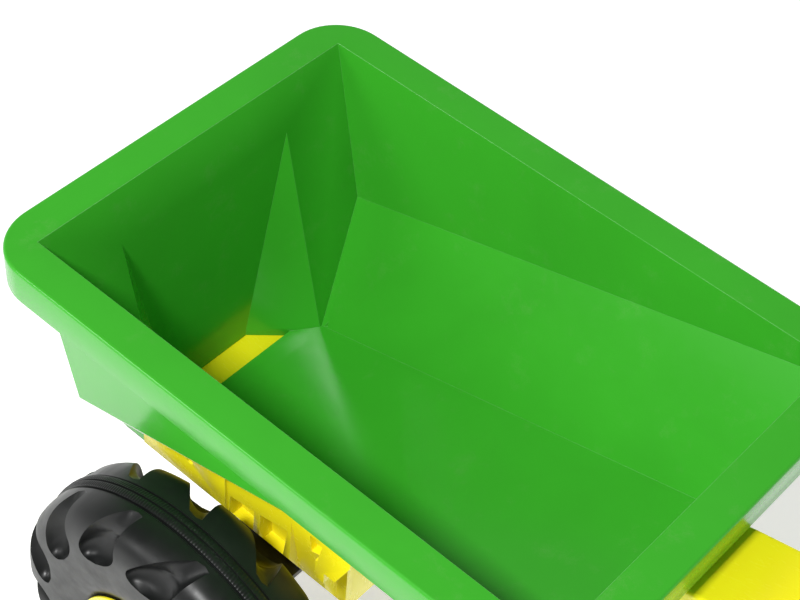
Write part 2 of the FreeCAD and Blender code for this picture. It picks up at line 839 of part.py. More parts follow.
def polygon_face(points):
    return Part.Face(Part.makePolygon(points + points[:1]))


def bevel_gear(teeth, mate_teeth, bore, hub_radius, hub_end, gap_first, web_radius=None):
    module = size("gear_module")
    radius = module * teeth / 2
    mate = module * mate_teeth / 2
    cone_angle = math.atan2(radius, mate)
    distance = math.hypot(radius, mate)
    gear = bevel_teeth(teeth, cone_angle, distance, gap_first)
    inner = mate * (1 - size("gear_face_share"))
    gear = gear.fuse(cylinder(hub_radius, (0, 0, inner + 1), Z_DIR, hub_end - inner - 1))
    if web_radius:
        gear = gear.fuse(cylinder(web_radius, (0, 0, mate + 0.5), Z_DIR, 5))
    hole = cylinder(bore + size("running_clearance"), (0, 0, -1), Z_DIR, hub_end + 2)
    return gear.cut(hole)


def turned(shape, axis, angle, move=(0, 0, 0)):
    copy = shape.copy()
    copy.Placement = FreeCAD.Placement(Vector(*move), FreeCAD.Rotation(axis, angle))
    return copy


def lay_length():
    """From the axle's axis to the spinner's axis."""
    return size("axle_setback") - size("spinner_setback")


def make_gears():
    big = int(size("wheel_gear_teeth"))
    small = int(size("pinion_teeth"))
    shaft = size("shaft_radius")
    axle_radius = size("axle_radius")
    gear = bevel_gear(big, small, axle_radius, 13, 30, False, size("wheel_gear_radius") - 4)
    pin_hole = cylinder(1.6, (0, -20, 25), Y_DIR, 40)
    feature("drive_gear", turned(gear.cut(pin_hole), X_DIR, -90), AXLE_FRAME)
    pinion = bevel_gear(small, big, shaft, 8, size("wheel_gear_radius") + 12, True)
    feature("lay_pinion_front", turned(pinion, Y_DIR, -90), AXLE_FRAME)
    mitre = bevel_gear(small, small, shaft, 8, size("pinion_radius") + 10, False)
    feature("lay_pinion_rear", turned(mitre, Y_DIR, 90), SPINNER_FRAME)
    mate = bevel_gear(small, small, shaft, 8, size("pinion_radius") + 10, True)
    feature("spinner_gear", turned(mate, Y_DIR, 180), SPINNER_FRAME)


# Round parts turned about the axle, drawn with the radius across and the axle's line upwards.

def sleeve(label, frame, inner, outer, low, high):
    item = body(label, frame)
    outline = [(inner, low), (outer, low), (outer, high), (inner, high)]
    revolve(item, "XY_Plane", outline, "V_Axis")
    return item


def make_tyre(label, hand, frame):
    """A moulded tyre: crowned tread, raised middle band, flat shoulders, open at the hub."""
    item = body(label, frame)
    half = "wheel_width / 2"
    outline = [("hub_radius - 8", "-(%s - 4)" % half), ("hub_radius + 12", "-(%s)" % half)]
    outline += [("wheel_radius - 24", "-(%s)" % half), ("wheel_radius - 17", "-(%s - 1)" % half)]
    outline += [("wheel_radius - 10", "-(%s - 6)" % half), ("wheel_radius - 5", "-(%s - 13)" % half)]
    outline += [("wheel_radius - 2.2", "-8")]
    outline += [("wheel_radius - 2", "-5"), ("wheel_radius", "-4")]
    outline += [(across, "-(%s)" % up) for across, up in reversed(outline)]
    revolve(item, "XY_Plane", outline, "V_Axis")
    cavity = item.newObject("PartDesign::Groove", label + "_cavity")
    inside = "%s - tyre_wall" % half
    ring = [("hub_radius - 9", "-(%s - 4)" % inside)]
    ring += [("wheel_radius - tread_depth - 12", "-(%s - 2)" % inside)]
    ring += [("wheel_radius - tread_depth - tyre_wall", "-(%s - 12)" % inside)]
    ring += [(across, "-(%s)" % up) for across, up in reversed(ring)]
    sketch = sketch_on(item, "XY_Plane", [ring])
    cavity.Profile = sketch
    cavity.ReferenceAxis = (sketch, ["V_Axis"])
    cavity.Angle = 360
    doc.recompute()
    for side in (1, -1):
        cut_scoops(item, label, side, side == hand)


def cut_scoops(item, label, side, half_step):
    """Tapered, slanted scoops from the shoulder to the middle band, cut between the lugs of one side."""
    beyond = 10
    cone = item.newObject("PartDesign::SubtractiveCone", label + "_scoop")
    bind(cone, "Radius1", "2 * tread_depth + 6")
    bind(cone, "Radius2", "2")
    bind(cone, "Height", "wheel_width / 2 - 6 + %d" % beyond)
    turn = 180.0 / size("lug_count") if half_step else 0.0
    radial = FreeCAD.Rotation(Y_DIR, turn)
    lean = FreeCAD.Rotation(X_DIR, side * (90 + size("lug_slant")))
    reach = radial.multVec(Vector(size("wheel_radius") + 5, 0, 0))
    edge = Vector(0, side * (size("wheel_width") / 2 + beyond), 0)
    cone.AttachmentSupport = [(origin_part(item, "XY_Plane"), "")]
    cone.MapMode = "FlatFace"
    cone.AttachmentOffset = FreeCAD.Placement(reach + edge, radial.multiply(lean))
    doc.recompute()
    polar(item, cone, "Y_Axis", "lug_count")


def make_hub(label, hand, frame, bore):
    """A dished wheel disc with a barrel on the axle and six ventilation slots."""
    item = body(label, frame)
    outer = "%d * " % hand
    half = "wheel_width / 2"
    outline = [(bore, "-(%s - 6)" % half), ("axle_radius + 9", "-(%s - 6)" % half)]
    outline += [("axle_radius + 9", "10"), ("hub_radius - 12", "10")]
    outline += [("hub_radius - 12", "-(%s - 6)" % half)]
    outline += [("hub_radius - 8.4", "-(%s - 6)" % half), ("hub_radius - 8.4", "%s - 3.9" % half)]
    outline += [("hub_radius - 1", "%s - 2.4" % half), ("hub_radius - 1", "%s - 0.6" % half)]
    outline += [("hub_radius - 9", "%s - 0.6" % half), ("hub_radius - 18", "14")]
    outline += [("axle_radius + 20", "14"), ("axle_radius + 12", "%s - 14" % half)]
    outline += [(bore, "%s - 14" % half)]
    outline = [(across, outer + "(%s)" % up) for across, up in outline]
    revolve(item, "XY_Plane", outline, "V_Axis")
    slot = [("axle_radius + 24", "-7"), ("hub_radius - 22", "-10")]
    slot += [("hub_radius - 22", "10"), ("axle_radius + 24", "7")]
    cut = pocket(item, "XZ_Plane", [slot], "wheel_width", midplane=True)
    polar(item, cut, "Y_Axis", "6")


def wheel_frame(hand):
    return ("axle_x", "%d * track_half" % hand, "wheel_radius")


def make_wheels():
    make_tyre("wheel_left_tyre", 1, wheel_frame(1))
    make_tyre("wheel_right_tyre", -1, wheel_frame(-1))
    make_hub("wheel_left_hub", 1, wheel_frame(1), "axle_radius + running_clearance")
    make_hub("wheel_right_hub", -1, wheel_frame(-1), "axle_radius + bush_wall + 2 * running_clearance")
    half = "wheel_width / 2"
    sleeve("wheel_right_bush", wheel_frame(-1), "axle_radius + running_clearance",
           "axle_radius + bush_wall + running_clearance", "-(%s - 14)" % half, "%s - 6" % half)
    for label, hand in (("axle_cap_left", 1), ("axle_cap_right", -1)):
        make_axle_cap(label, hand)
    for label, hand in (("axle_spacer_left", 1), ("axle_spacer_right", -1)):
        make_spacer(label, hand)


def make_axle_cap(label, hand):
    """A push-on cap over the axle's end, outside the wheel disc's boss."""
    item = body(label, wheel_frame(hand))
    start = "wheel_width / 2 - 14 + side_clearance"
    bore = "axle_radius + running_clearance"
    outline = [(bore, start), ("axle_radius + 9", start), ("axle_radius + 9", "%s + 3" % start)]
    outline += [("axle_radius + 4", "%s + 8" % start), ("0", "%s + 8" % start), ("0", "%s + 6.1" % start)]
    outline += [(bore, "%s + 6.1" % start)]
    outline = [(across, "%d * (%s)" % (hand, up)) for across, up in outline]
    revolve(item, "XY_Plane", outline, "V_Axis")


def make_spacer(label, hand):
    """A tube between the hanger's bush and the wheel's barrel."""
    low = "hanger_face + side_clearance + 2"
    high = "track_half - (wheel_width / 2 - 6) - side_clearance"
    sleeve(label, AXLE_FRAME, "axle_radius + running_clearance", "axle_radius + 7",
           "%d * (%s)" % (hand, low), "%d * (%s)" % (hand, high))


def make_axle():
    """The axle ends inside its caps."""
    end = "track_half + wheel_width / 2 - 14 + side_clearance + 6"
    item = body("axle", AXLE_FRAME)
    outline = [("0", "-(%s)" % end), ("axle_radius - 1", "-(%s)" % end), ("axle_radius", "-(%s - 1)" % end)]
    outline += [("axle_radius", "%s - 1" % end), ("axle_radius - 1", end), ("0", end)]
    revolve(item, "XY_Plane", outline, "V_Axis")
    pocket(item, "XY_Plane", [("0", "25", "1.6")], "3 * axle_radius", midplane=True)
    drive_pin_y = "track_half - wheel_width / 2 + 14"
    pocket(item, "XY_Plane", [("0", drive_pin_y, "2.1")], "3 * axle_radius", midplane=True)
    pins = (("gear_pin", "25", "1.5", "12.6"), ("wheel_drive_pin", drive_pin_y, "2", "14.4"))
    for label, along, radius, reach in pins:
        pin = body(label, AXLE_FRAME)
        pad(pin, "XY_Plane", [("0", along, radius)], "2 * %s" % reach, midplane=True)
    hub = doc.getObject("wheel_left_hub")
    pocket(hub, "XY_Plane", [("0", "14 - wheel_width / 2", "2.1")], "2 * (axle_radius + 10)", midplane=True)


def make_axle_bushes():
    for label, hand in (("axle_bush_left", 1), ("axle_bush_right", -1)):
        item = body(label, AXLE_FRAME)
        bore = "axle_radius + running_clearance"
        outer = "axle_radius + bush_wall + running_clearance"
        face = "hanger_face"
        outline = [(bore, "%s - hanger_width" % face), (outer, "%s - hanger_width" % face), (outer, face)]
        outline += [("axle_radius + bush_wall + 4", face), ("axle_radius + bush_wall + 4", "%s + 2" % face)]
        outline += [(bore, "%s + 2" % face)]
        outline = [(across, "%d * (%s)" % (hand, up)) for across, up in outline]
        revolve(item, "XY_Plane", outline, "V_Axis")


# Lay shaft and spinner.

LAY_BUSH_HALF = 4


def lay_bush_places():
    """Along X from the spinner's axis: behind the rear pinion and before the front one."""
    rear = size("pinion_radius") + 10 + 1 + LAY_BUSH_HALF
    front = lay_length() - size("wheel_gear_radius") - 12 - 1 - LAY_BUSH_HALF
    return [rear, front]


def lay_bush_seat():
    return size("shaft_radius") + 2 * size("running_clearance") + size("lay_bush_wall")


def make_lay_shaft():
    item = body("lay_shaft", SPINNER_FRAME)
    reach = "axle_setback - spinner_setback"
    start = "pinion_radius * (1 - gear_face_share)"
    end = "%s - wheel_gear_radius * (1 - gear_face_share)" % reach
    outline = [(start, "0"), (start, "shaft_radius"), (end, "shaft_radius"), (end, "0")]
    revolve(item, "XY_Plane", outline, "H_Axis")
    for label, place_x in zip(("lay_bush_rear", "lay_bush_front"), lay_bush_places()):
        start = (place_x - LAY_BUSH_HALF, 0, 0)
        ring = cylinder(lay_bush_seat() - size("running_clearance"), start, X_DIR, 2 * LAY_BUSH_HALF)
        bore = cylinder(size("shaft_radius") + size("running_clearance"), (place_x - 9, 0, 0), X_DIR, 18)
        feature(label, ring.cut(bore), SPINNER_FRAME)


def spinner_top():
    """Heights in the spinner's frame are measured from the lay shaft's axis."""
    return "axle_depth - disc_top_depth"


def make_spinner():
    disc = body("spinner_disc", SPINNER_FRAME)
    top = spinner_top()
    low = "axle_depth - disc_bottom_depth"
    bore = "shaft_radius + running_clearance"
    outline = [(bore, low), ("disc_radius - 1.5", low), ("disc_radius", "%s + 1" % low)]
    outline += [("disc_radius", "%s + 3" % top), ("disc_radius - 1.5", "%s + 3" % top)]
    outline += [("disc_radius - 1.5", top), ("shaft_radius + 9", top)]
    outline += [("shaft_radius + 6", "%s + 4" % top), (bore, "%s + 4" % top)]
    revolve(disc, "XZ_Plane", outline, "V_Axis")
    vane = [("shaft_radius + 7", "-1"), ("disc_radius - 1", "-7")]
    vane += [("disc_radius - 1", "-5"), ("shaft_radius + 7", "1")]
    first = pad(disc, "XY_Plane", [vane], "vane_height + 0.5", "%s - 0.5" % top)
    polar(disc, first, "Z_Axis", "6")
    shaft = body("spinner_shaft", SPINNER_FRAME)
    foot = "-(pinion_radius + 18.7)"
    outline = [("0", foot), ("shaft_radius", foot), ("shaft_radius", "%s + 4" % top), ("0", "%s + 4" % top)]
    revolve(shaft, "XZ_Plane", outline, "V_Axis")
    cap = body("spinner_cap", SPINNER_FRAME)
    base = "%s + 4.2" % top
    outline = [("0", base), ("shaft_radius + 3", base), ("shaft_radius + 3", "%s + 0.8" % base)]
    outline += [("shaft_radius + 1", "%s + 1.8" % base), ("0", "%s + 1.8" % base)]
    revolve(cap, "XZ_Plane", outline, "V_Axis")
    upper = cylinder(lay_bush_seat() - size("running_clearance"), (0, 0, cover_top() - 9), Z_DIR, 9)
    lower = cylinder(lay_bush_seat() - size("running_clearance"), (0, 0, spinner_floor()), Z_DIR, 8)
    for label, ring in (("spinner_bush_upper", upper), ("spinner_bush_lower", lower)):
        bore = cylinder(size("shaft_radius") + size("running_clearance"), (0, 0, -60), Z_DIR, 120)
        feature(label, ring.cut(bore), SPINNER_FRAME)


def cover_top():
    return size("axle_depth") - size("cover_top_depth")


def spinner_floor():
    """Bottom of the lower spinner bush, in the spinner's frame."""
    return -size("pinion_radius") - 10 - 1 - 8


# Drive case: a tray and a cover, split at the shafts' height.

def case_outline(grow):
    """Side outline about the lay shaft's height, in the spinner's frame."""
    wall = size("case_wall")
    rear = -16 - wall + grow
    front = lay_length() + size("case_half_height") + wall - grow
    low = -size("case_half_height") - wall + grow
    high = size("axle_depth") - size("chassis_depth") - grow
    step = cover_top() - grow
    bulge = size("disc_radius") + 6 + grow
    return [(rear, low), (front, low), (front, high), (bulge + 6, high), (bulge, step), (rear, step)]


def case_whole():
    wide = size("case_half_width")
    narrow = size("case_rear_half_width")
    wall = size("case_wall")
    far = lay_length() + size("case_half_height") + 10
    split = size("disc_radius") + 3
    solid = prism_y(case_outline(0), -wide, wide)
    left_side = box((-60, narrow, -90), (split, wide + 1, 90))
    right_side = box((-60, -wide - 1, -90), (split, -narrow, 90))
    solid = cut_all(solid, [left_side, right_side])
    hollow = prism_y(case_outline(wall), -narrow + wall, narrow - wall)
    deep = prism_y(case_outline(wall), wall - narrow, wide - 9)
    deep = deep.common(box((split + wall, -90, -90), (far, 90, 90)))
    hollow = hollow.fuse(deep)
    webs = [box((place_x - 4, -narrow, -90), (place_x + 4, narrow, 90)) for place_x in lay_bush_places()]
    hollow = cut_all(hollow, webs)
    boss = cylinder(lay_bush_seat() + 3, (0, 0, cover_top() - 9), Z_DIR, 9)
    foot_base = -size("case_half_height") - 1
    foot = cylinder(lay_bush_seat() + 3, (0, 0, foot_base), Z_DIR, spinner_floor() + 8 - foot_base)
    hollow = cut_all(hollow, [boss, foot])
    return solid.cut(hollow)


def case_bores():
    seat = lay_bush_seat()
    places = lay_bush_places()
    bores = [cylinder(seat, (places[0] - 4.5, 0, 0), X_DIR, places[1] - places[0] + 9)]
    bores.append(cylinder(seat, (0, 0, cover_top() - 10), Z_DIR, 12))
    bores.append(cylinder(seat, (0, 0, spinner_floor()), Z_DIR, 9))
    bores.append(cylinder(size("axle_radius") + 1, (lay_length(), -60, 0), Y_DIR, 120))
    for across, aside in case_screw_places():
        base = (across - size("spinner_setback"), aside, -120)
        bores.append(cylinder(screw_hole_radius(), base, Z_DIR, 240))
    return bores


def make_case():
    whole = cut_all(case_whole(), case_bores())
    far = 400
    tray = whole.common(box((-far, -far, -far), (far, far, 0)))
    cover = whole.common(box((-far, -far, 0), (far, far, far)))
    feature("drive_case_tray", tray, SPINNER_FRAME)
    feature("drive_case_cover", cover, SPINNER_FRAME)


# Dosing slide and its guides, under the outlet's collar.

def make_gate():
    item = body("gate_slide", HOPPER_FRAME)
    top = "-(collar_depth + gate_clearance)"
    rear = "recess_back_x - gate_overlap"
    front = "outlet_front_x + gate_overlap"
    tail = "%s - 22" % rear
    outline = [(tail, "-handle_width / 2"), (rear, "-handle_width / 2"), (rear, "-gate_half_width")]
    outline += [(front, "-gate_half_width"), (front, "gate_half_width"), (rear, "gate_half_width")]
    outline += [(rear, "handle_width / 2"), (tail, "handle_width / 2")]
    pad(item, "XY_Plane", [outline], "gate_thickness", "%s - gate_thickness" % top)
    grip = body("gate_handle", HOPPER_FRAME)
    outline = [(tail + " + 13", top), (tail + " + 13", "%s + 3" % top), (tail + " + 3", "%s + 3" % top)]
    outline += [(tail, "%s + handle_reach" % top), (tail + " - 3.2", "%s + handle_reach" % top)]
    outline += [(tail + " - 3.2", "%s - gate_thickness" % top)]
    outline += [(tail, "%s - gate_thickness" % top), (tail, top)]
    pad(grip, "XZ_Plane", [outline], "handle_width", midplane=True)
    for aside in ("-18", "18"):
        hole = (tail + " + 8", aside, "1.6")
        pocket(item, "XY_Plane", [hole], "12", top + " - 8", backwards=True)
        pocket(grip, "XY_Plane", [hole], "12", top + " - 8", backwards=True)
    feature("handle_rivets", handle_rivets(), HOPPER_FRAME)
    for label, hand in (("gate_guide_left", 1), ("gate_guide_right", -1)):
        make_guide(label, hand)


def handle_rivets():
    across = size("recess_back_x") - size("gate_overlap") - 14
    low = -size("collar_depth") - size("gate_clearance") - size("gate_thickness")
    thick = size("gate_thickness") + 3
    rivets = []
    for aside in (-18, 18):
        shank = cylinder(1.5, (across, aside, low - 1), Z_DIR, thick + 2)
        heads = [cylinder(3, (across, aside, level), Z_DIR, 1.2) for level in (low - 1.2, low + thick)]
        rivets.append(fuse_all([shank] + heads))
    return Part.makeCompound(rivets)


def make_guide(label, hand):
    """An L-shaped runner: it spaces the lip from the collar by the slide's thickness."""
    item = body(label, HOPPER_FRAME)
    inner = "%d * (gate_half_width + gate_clearance)" % hand
    outer = "%d * (gate_half_width + gate_clearance + guide_width)" % hand
    lip = "%d * (gate_half_width + gate_clearance - guide_lip)" % hand
    foot = "-(guide_depth + guide_lip_thickness)"
    outline = [(outer, "-collar_depth"), (inner, "-collar_depth"), (inner, "-guide_depth")]
    outline += [(lip, "-guide_depth"), (lip, foot), (outer, foot)]
    length = "outlet_front_x + collar_margin - recess_back_x + wall"
    pad(item, "YZ_Plane", [outline], length, "recess_back_x - wall")
    for across, aside in guide_screw_places():
        if aside * hand > 0:
            add_guide_hole(item, across, hand)


def add_guide_hole(item, across, hand):
    centre = "%d * (gate_half_width + gate_clearance + guide_width / 2)" % hand
    along = "recess_back_x + 2" if across < size("outlet_front_x") else "outlet_front_x + collar_margin - 9"
    hole = (along, centre, "screw_radius + screw_clearance")
    sink = (along, centre, "screw_head_radius - 0.4")
    base = "-(guide_depth + guide_lip_thickness) - 1"
    pocket(item, "XY_Plane", [hole], "20", base, backwards=True)
    pocket(item, "XY_Plane", [sink], "3.3", base, backwards=True)


feature("hopper", hopper_shape(), HOPPER_FRAME)
feature("chassis_frame", chassis_shape(), HOPPER_FRAME)
feature("drawbar", drawbar_shape(), HOPPER_FRAME)
feature("hitch_bush", hitch_bush_shape(), HOPPER_FRAME)
feature("axle_bracket_left", bracket_shape(1), HOPPER_FRAME)
feature("axle_bracket_right", bracket_shape(-1), HOPPER_FRAME)
feature("bracket_screws", bracket_screws(), HOPPER_FRAME)
feature("hopper_screws", hopper_screws(), HOPPER_FRAME)
feature("guide_screws", guide_screws(), HOPPER_FRAME)
feature("case_screws", case_screws(), HOPPER_FRAME)
feature("drawbar_screws", drawbar_screws(), HOPPER_FRAME)
feature("front_rivets", front_rivets(), HOPPER_FRAME)
make_gears()
make_wheels()
make_axle()
make_axle_bushes()
make_lay_shaft()
make_spinner()
make_case()
make_gate()
doc.recompute()

for item in doc.Objects:
    if "Invalid" in item.State or "Error" in item.State:
        raise RuntimeError("%s did not build: %s" % (item.Label, item.State))
for item in NODES:
    if item.Shape.isNull() or not item.Shape.isValid():
        raise RuntimeError(item.Label + " has no valid shape")

os.makedirs("parts", exist_ok=True)
for item in NODES:
    item.Shape.exportStep(os.path.join("parts", item.Label + ".step"))
    print("%-22s %8.1f cm3  %d solids" % (item.Label, item.Shape.Volume / 1000, len(item.Shape.Solids)))
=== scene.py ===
import json
import math

import bmesh
import bpy
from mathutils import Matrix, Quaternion, Vector


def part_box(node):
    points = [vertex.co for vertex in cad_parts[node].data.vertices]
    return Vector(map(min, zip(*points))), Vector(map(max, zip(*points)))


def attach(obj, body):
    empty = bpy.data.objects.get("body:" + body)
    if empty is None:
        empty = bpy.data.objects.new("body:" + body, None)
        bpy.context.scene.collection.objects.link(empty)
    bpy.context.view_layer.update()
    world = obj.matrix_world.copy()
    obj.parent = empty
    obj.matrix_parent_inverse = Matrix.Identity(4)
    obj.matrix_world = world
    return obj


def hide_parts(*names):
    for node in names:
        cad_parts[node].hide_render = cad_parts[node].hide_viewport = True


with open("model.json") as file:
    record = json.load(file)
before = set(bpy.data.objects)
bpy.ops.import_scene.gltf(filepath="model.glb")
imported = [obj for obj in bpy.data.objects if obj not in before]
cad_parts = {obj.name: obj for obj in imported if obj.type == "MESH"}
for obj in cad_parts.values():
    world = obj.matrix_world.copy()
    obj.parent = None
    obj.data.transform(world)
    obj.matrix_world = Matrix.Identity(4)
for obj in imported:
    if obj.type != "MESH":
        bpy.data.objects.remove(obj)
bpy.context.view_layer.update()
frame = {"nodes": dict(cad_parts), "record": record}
NODES = frame["nodes"]
BODY_OF = {}
for body_name, members in frame["record"]["behaviour"]["bodies"].items():
    for member in members:
        BODY_OF[member] = body_name
SLOT_OF = {row["node"]: row["material_slot"] for row in frame["record"]["subparts"]}


# ---------------------------------------------------------------- materials

class Graph:
    """Short names for building a material's nodes."""

    def __init__(self, name):
        self.material = bpy.data.materials.new(name)
        self.material.use_nodes = True
        self.tree = self.material.node_tree
        self.shader = self.tree.nodes["Principled BSDF"]
        self.place = self.tree.nodes.new("ShaderNodeTexCoord").outputs["Object"]

    def node(self, kind, **settings):
        made = self.tree.nodes.new(kind)
        for key, value in settings.items():
            setattr(made, key, value)
        return made

    def link(self, source, target):
        self.tree.links.new(source, target)

    def noise(self, scale, detail=3.0, roughness=0.5, stretch=None, distortion=0.0):
        made = self.node("ShaderNodeTexNoise")
        made.inputs["Scale"].default_value = scale
        made.inputs["Detail"].default_value = detail
        made.inputs["Roughness"].default_value = roughness
        made.inputs["Distortion"].default_value = distortion
        place = self.place
        if stretch:
            mapping = self.node("ShaderNodeMapping")
            mapping.inputs["Scale"].default_value = stretch
            self.link(self.place, mapping.inputs["Vector"])
            place = mapping.outputs["Vector"]
        self.link(place, made.inputs["Vector"])
        return made.outputs["Fac"]

    def spread(self, value, low, high, to_low, to_high):
        made = self.node("ShaderNodeMapRange")
        made.inputs["From Min"].default_value = low
        made.inputs["From Max"].default_value = high
        made.inputs["To Min"].default_value = to_low
        made.inputs["To Max"].default_value = to_high
        self.link(value, made.inputs["Value"])
        return made.outputs["Result"]

    def maths(self, operation, first, second):
        made = self.node("ShaderNodeMath", operation=operation)
        for socket, value in zip(made.inputs, (first, second)):
            if isinstance(value, (int, float)):
                socket.default_value = value
            else:
                self.link(value, socket)
        return made.outputs[0]

    def mix(self, amount, first, second):
        made = self.node("ShaderNodeMix", data_type="RGBA")
        if isinstance(amount, (int, float)):
            made.inputs["Factor"].default_value = amount
        else:
            self.link(amount, made.inputs["Factor"])
        for socket, value in ((made.inputs["A"], first), (made.inputs["B"], second)):
            if isinstance(value, tuple):
                socket.default_value = value
            else:
                self.link(value, socket)
        return made.outputs["Result"]

    def roughness(self, value):
        self.link(value, self.shader.inputs["Roughness"])

    def colour(self, tone):
        self.link(tone, self.shader.inputs["Base Color"])

    def bump(self, layers):
        """Layers are (height, strength, distance), the coarsest first."""
        normal = None
        for height, strength, distance in layers:
            made = self.node("ShaderNodeBump")
            made.inputs["Strength"].default_value = strength
            made.inputs["Distance"].default_value = distance
            self.link(height, made.inputs["Height"])
            if normal is not None:
                self.link(normal, made.inputs["Normal"])
            normal = made.outputs["Normal"]
        self.link(normal, self.shader.inputs["Normal"])


DUST = (0.55, 0.47, 0.38, 1.0)


def shade(colour, factor):
    return tuple(min(1.0, channel * factor) for channel in colour) + (1.0,)


def moulded_plastic(name, colour, roughness, grain, dust=0.0, wear_and_highlight=0.0):
    """Moulded plastic: flow marks, fine grain, scuffs and a little dust. The wear setting lightens scuffed
    spots: partly edge wear, partly a painted highlight, as it is given only to the rounded-edge plastics.
    """
    graph = Graph(name)
    flow = graph.noise(7.0, 4.0, 0.55, distortion=0.6)
    fine = graph.noise(1400.0, 2.0)
    ripple = graph.noise(38.0, 2.0)
    scuffs = graph.noise(90.0, 6.0, 0.7, stretch=(1.0, 5.0, 1.0))
    tone = graph.mix(graph.spread(flow, 0.3, 0.7, 0.0, 1.0), shade(colour, 0.94), shade(colour, 1.04))
    # Lighter scuffed spots: partly edge wear, partly a painted highlight on the rounded edges.
    if wear_and_highlight:
        rubbed_and_highlight = graph.spread(scuffs, 0.35, 0.65, 0.3 * wear_and_highlight, wear_and_highlight)
        paler_wear_and_highlight = tuple(0.72 * channel + 0.28 for channel in colour) + (1.0,)
        tone = graph.mix(rubbed_and_highlight, tone, paler_wear_and_highlight)
    if dust:
        settled = graph.spread(graph.noise(26.0, 8.0, 0.75), 0.56, 0.75, 0.0, dust)
        specks = graph.maths("MULTIPLY", settled, graph.spread(fine, 0.4, 0.6, 0.2, 1.0))
        tone = graph.mix(specks, tone, DUST)
    graph.colour(tone)
    graph.roughness(graph.spread(scuffs, 0.3, 0.75, roughness * 0.85, roughness * 1.3))
    graph.shader.inputs["IOR"].default_value = 1.46
    graph.bump([(ripple, 0.08, 0.0008), (scuffs, 0.03, 0.0002), (fine, grain, 0.00006)])
    return graph.material


def tyre_plastic(name):
    """Blow-moulded black tyre: a gloss that varies in streaks, under a faint chalky film."""
    graph = Graph(name)
    film = graph.noise(9.0, 5.0, 0.6)
    fine = graph.noise(900.0, 3.0, 0.6)
    streaks = graph.noise(60.0, 4.0, 0.6, stretch=(1.0, 0.2, 1.0))
    chalk = graph.spread(film, 0.35, 0.7, 0.0, 1.0)
    graph.colour(graph.mix(chalk, (0.0055, 0.0062, 0.006, 1), (0.012, 0.013, 0.0125, 1)))
    graph.roughness(graph.spread(streaks, 0.3, 0.7, 0.3, 0.44))
    graph.shader.inputs["IOR"].default_value = 1.5
    graph.shader.inputs["Specular IOR Level"].default_value = 0.34
    graph.bump([(film, 0.06, 0.001), (streaks, 0.04, 0.0003), (fine, 0.12, 0.0001)])
    return graph.material


def nylon(name, colour):
    graph = Graph(name)
    cloud = graph.noise(30.0, 5.0, 0.6)
    fine = graph.noise(1200.0, 2.0)
    tone = graph.mix(graph.spread(cloud, 0.3, 0.7, 0.0, 1.0), shade(colour, 0.88), shade(colour, 1.06))
    grease = graph.spread(graph.noise(55.0, 4.0, 0.65), 0.58, 0.72, 0.0, 0.35)
    graph.colour(graph.mix(grease, tone, (0.16, 0.14, 0.1, 1)))
    graph.roughness(graph.spread(cloud, 0.3, 0.7, 0.36, 0.5))
    graph.bump([(cloud, 0.05, 0.0004), (fine, 0.15, 0.00006)])
    return graph.material


def metal(name, colour, roughness, stretch, stain):
    """Metal with drawn marks or an even grain, and a little stain in patches."""
    graph = Graph(name)
    drawn = graph.noise(260.0, 5.0, 0.65, stretch=stretch)
    patches = graph.noise(40.0, 6.0, 0.65)
    tone = graph.mix(graph.spread(drawn, 0.3, 0.7, 0.0, 1.0), shade(colour, 0.82), shade(colour, 1.05))
    graph.colour(graph.mix(graph.spread(patches, 0.58, 0.8, 0.0, 0.5), tone, stain))
    graph.shader.inputs["Metallic"].default_value = 1.0
    graph.roughness(graph.spread(drawn, 0.3, 0.7, roughness * 0.8, roughness * 1.4))
    graph.bump([(patches, 0.05, 0.0003), (drawn, 0.1, 0.00008)])
    return graph.material


GREEN = (0.046, 0.42, 0.023)
YELLOW = (1.0, 0.86, 0.012)
BLACK = (0.02, 0.021, 0.022)
NYLON = (0.6, 0.6, 0.56)
ZINC = (0.66, 0.67, 0.68)
BRONZE = (0.72, 0.5, 0.24)
ZINC_STAIN = (0.32, 0.27, 0.2, 1)
BRONZE_STAIN = (0.3, 0.2, 0.1, 1)
DRAWN = (1.0, 1.0, 0.12)
EVEN = (1.0, 1.0, 1.0)
MATERIALS = {
    "green_plastic": moulded_plastic("green_moulded", GREEN, 0.2, 0.06, dust=0.1),
    "yellow_plastic": moulded_plastic("yellow_moulded", YELLOW, 0.24, 0.07, dust=0.04),
    "black_tyre": tyre_plastic("black_blow_moulded"),
    "black_plastic": moulded_plastic("black_moulded", BLACK, 0.38, 0.2, dust=0.15),
    "grey_nylon": nylon("natural_nylon", NYLON),
    "steel": metal("zinc_plated_steel", ZINC, 0.28, DRAWN, ZINC_STAIN),
    "brass": metal("sintered_bronze", BRONZE, 0.34, EVEN, BRONZE_STAIN),
}
# Lighter copies of the plastics for the rounded edges: partly edge wear, partly a painted highlight along
# every rounded edge and fold.
EDGE_WEAR_AND_HIGHLIGHT = {
    "green_plastic": moulded_plastic("green_edge_wear_and_highlight", GREEN, 0.22, 0.06, wear_and_highlight=0.4),
    "yellow_plastic": moulded_plastic("yellow_edge_wear_and_highlight", YELLOW, 0.26, 0.07, wear_and_highlight=0.4),
    "black_plastic": moulded_plastic("black_edge_wear_and_highlight", BLACK, 0.4, 0.2, wear_and_highlight=0.3),
}


def paint(thing, slot_name):
    thing.data.materials.clear()
    thing.data.materials.append(MATERIALS[slot_name])


# ---------------------------------------------------------------- pieces

def finish_piece(node_name, mesh):
    """A visible piece that stands for one CAD node, in the node's body and with its material."""
    slot_name = SLOT_OF[node_name]
    thing = bpy.data.objects.new(node_name + "_moulded", mesh)
    bpy.context.scene.collection.objects.link(thing)
    paint(thing, slot_name)
    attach(thing, BODY_OF[node_name])
    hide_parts(node_name)
    return thing


# Edges that turn by more than CORNER are rounded. Faces within FLAT of each other become one.
CORNER = math.radians(28.0)
FLAT = math.radians(0.6)
SEAM = 2e-6


